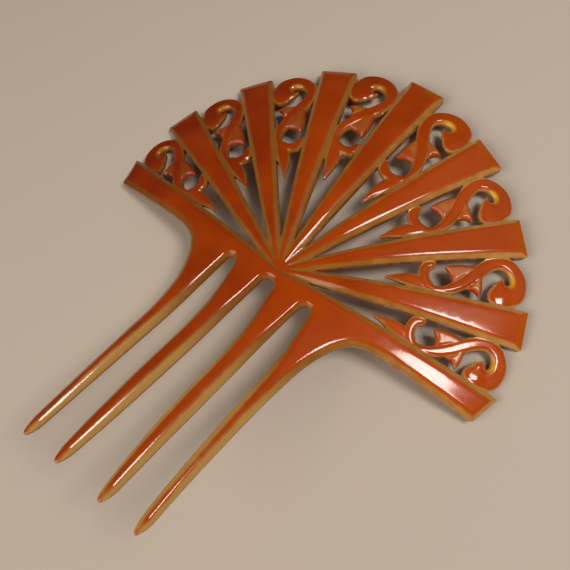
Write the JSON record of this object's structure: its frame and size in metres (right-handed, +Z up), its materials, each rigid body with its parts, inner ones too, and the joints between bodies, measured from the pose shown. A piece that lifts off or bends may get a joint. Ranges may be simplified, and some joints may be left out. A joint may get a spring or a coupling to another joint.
{
  "type": "mantilla comb",
  "caption": "Tall hair comb cut from one curved sheet: a pierced fan of blades and scrolls over a crossbar with wings, and long teeth that slide into gathered hair.",
  "frame": {"origin": "bottom centre of the bounding box, on the surface the comb rests on", "axes": "+Z up out of the face of the comb, +Y along the comb from the teeth to the fan, +X to the right seen from the face"},
  "size_m": [0.1224, 0.1326, 0.035],
  "materials": {
    "comb": "polished, orange-red face over a translucent olive-tan base"
  },
  "bodies": {
    "root": {"comb": "comb"}
  },
  "joints": []
}
